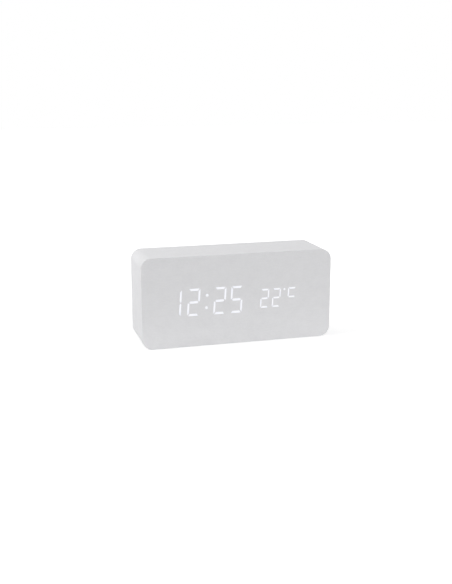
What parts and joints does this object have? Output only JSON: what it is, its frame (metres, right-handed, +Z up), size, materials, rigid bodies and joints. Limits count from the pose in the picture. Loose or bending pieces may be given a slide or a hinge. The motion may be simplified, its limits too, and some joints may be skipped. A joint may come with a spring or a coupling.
{
  "type": "digital clock",
  "caption": "White film-covered wooden block clock with a lit segment display of time and temperature, and a black back panel with buttons, a power socket and a hinged battery door.",
  "frame": {"origin": "middle of the base, on the surface that the clock stands on", "axes": "+X to the right as seen from the front, +Y towards the back, +Z up"},
  "size_m": [0.15, 0.0434, 0.07],
  "materials": {
    "wood_fibre": "raw medium-density fibreboard",
    "white_film": "matt white film",
    "lit_segment": "lit white",
    "unlit_segment": "clear epoxy, unlit",
    "reflector": "white moulded plastic",
    "led_chip": "phosphor",
    "circuit_board": "green solder mask",
    "chip": "black epoxy",
    "crystal_can": "plain metal can",
    "capacitor_sleeve": "shrink sleeve",
    "connector": "natural nylon",
    "ribbon": "grey insulation",
    "red_wire": "red insulation",
    "black_wire": "black insulation",
    "black_plastic": "fine spark texture",
    "button": "satin black",
    "switch": "black moulding",
    "screw": "nickel plating",
    "socket_shell": "nickel plating",
    "socket_tongue": "black moulding",
    "sensor": "black epoxy bead",
    "contact": "nickel plating",
    "cell_jacket": "plain grey sleeve with a dark band"
  },
  "bodies": {
    "case": {"case_body": "wood_fibre", "corner_blocks": "wood_fibre", "wrap_film": "white_film", "base_film": "white_film", "front_film": "white_film", "rear_film": "white_film", "time_digit_1": "lit_segment", "time_digit_2": "lit_segment", "time_digit_3": "lit_segment", "time_digit_4": "lit_segment", "temperature_digit_1": "lit_segment", "temperature_digit_2": "lit_segment", "temperature_digit_3": "lit_segment", "colon_dots": "lit_segment", "degree_dot": "lit_segment", "unlit_segments": "unlit_segment", "display_reflector": "reflector", "segment_leds": "led_chip", "display_board": "circuit_board", "control_board": "circuit_board", "display_driver_chip": "chip", "processor_chip": "chip", "series_resistors": "chip", "clock_crystal": "crystal_can", "microphone": "crystal_can", "smoothing_capacitors": "capacitor_sleeve", "display_connector": "connector", "control_connector": "connector", "battery_connector": "connector", "ribbon_cable": "ribbon", "positive_lead": "red_wire", "negative_lead": "black_wire", "back_panel": "black_plastic", "set_switch": "switch", "up_switch": "switch", "down_switch": "switch", "buzzer": "switch", "panel_screws": "screw", "display_board_screws": "screw", "control_board_screws": "screw", "power_socket_shell": "socket_shell", "power_socket_tongue": "socket_tongue", "thermistor": "sensor", "positive_contact": "contact", "negative_contact": "contact", "link_contacts": "contact", "contact_springs": "contact", "battery_cell_1": "cell_jacket", "battery_cell_2": "cell_jacket", "battery_cell_3": "cell_jacket"},
    "set_button": {"set_button": "button", "set_plunger": "switch"},
    "up_button": {"up_button": "button", "up_plunger": "switch"},
    "down_button": {"down_button": "button", "down_plunger": "switch"},
    "battery_door": {"battery_door": "black_plastic"}
  },
  "joints": [
    {"name": "set_button_press", "type": "slide", "parent": "case", "child": "set_button", "axis": [0, -1, 0], "range_m": [0, 0.0005], "stiffness_N_per_m": 4000},
    {"name": "up_button_press", "type": "slide", "parent": "case", "child": "up_button", "axis": [0, -1, 0], "range_m": [0, 0.0005], "stiffness_N_per_m": 4000},
    {"name": "down_button_press", "type": "slide", "parent": "case", "child": "down_button", "axis": [0, -1, 0], "range_m": [0, 0.0005], "stiffness_N_per_m": 4000},
    {"name": "battery_door_hinge", "type": "hinge", "parent": "case", "child": "battery_door", "pos_m": [0.02851, 0.01885, 0.01705], "axis": [-1, 0, 0], "range_deg": [0, 95]}
  ]
}
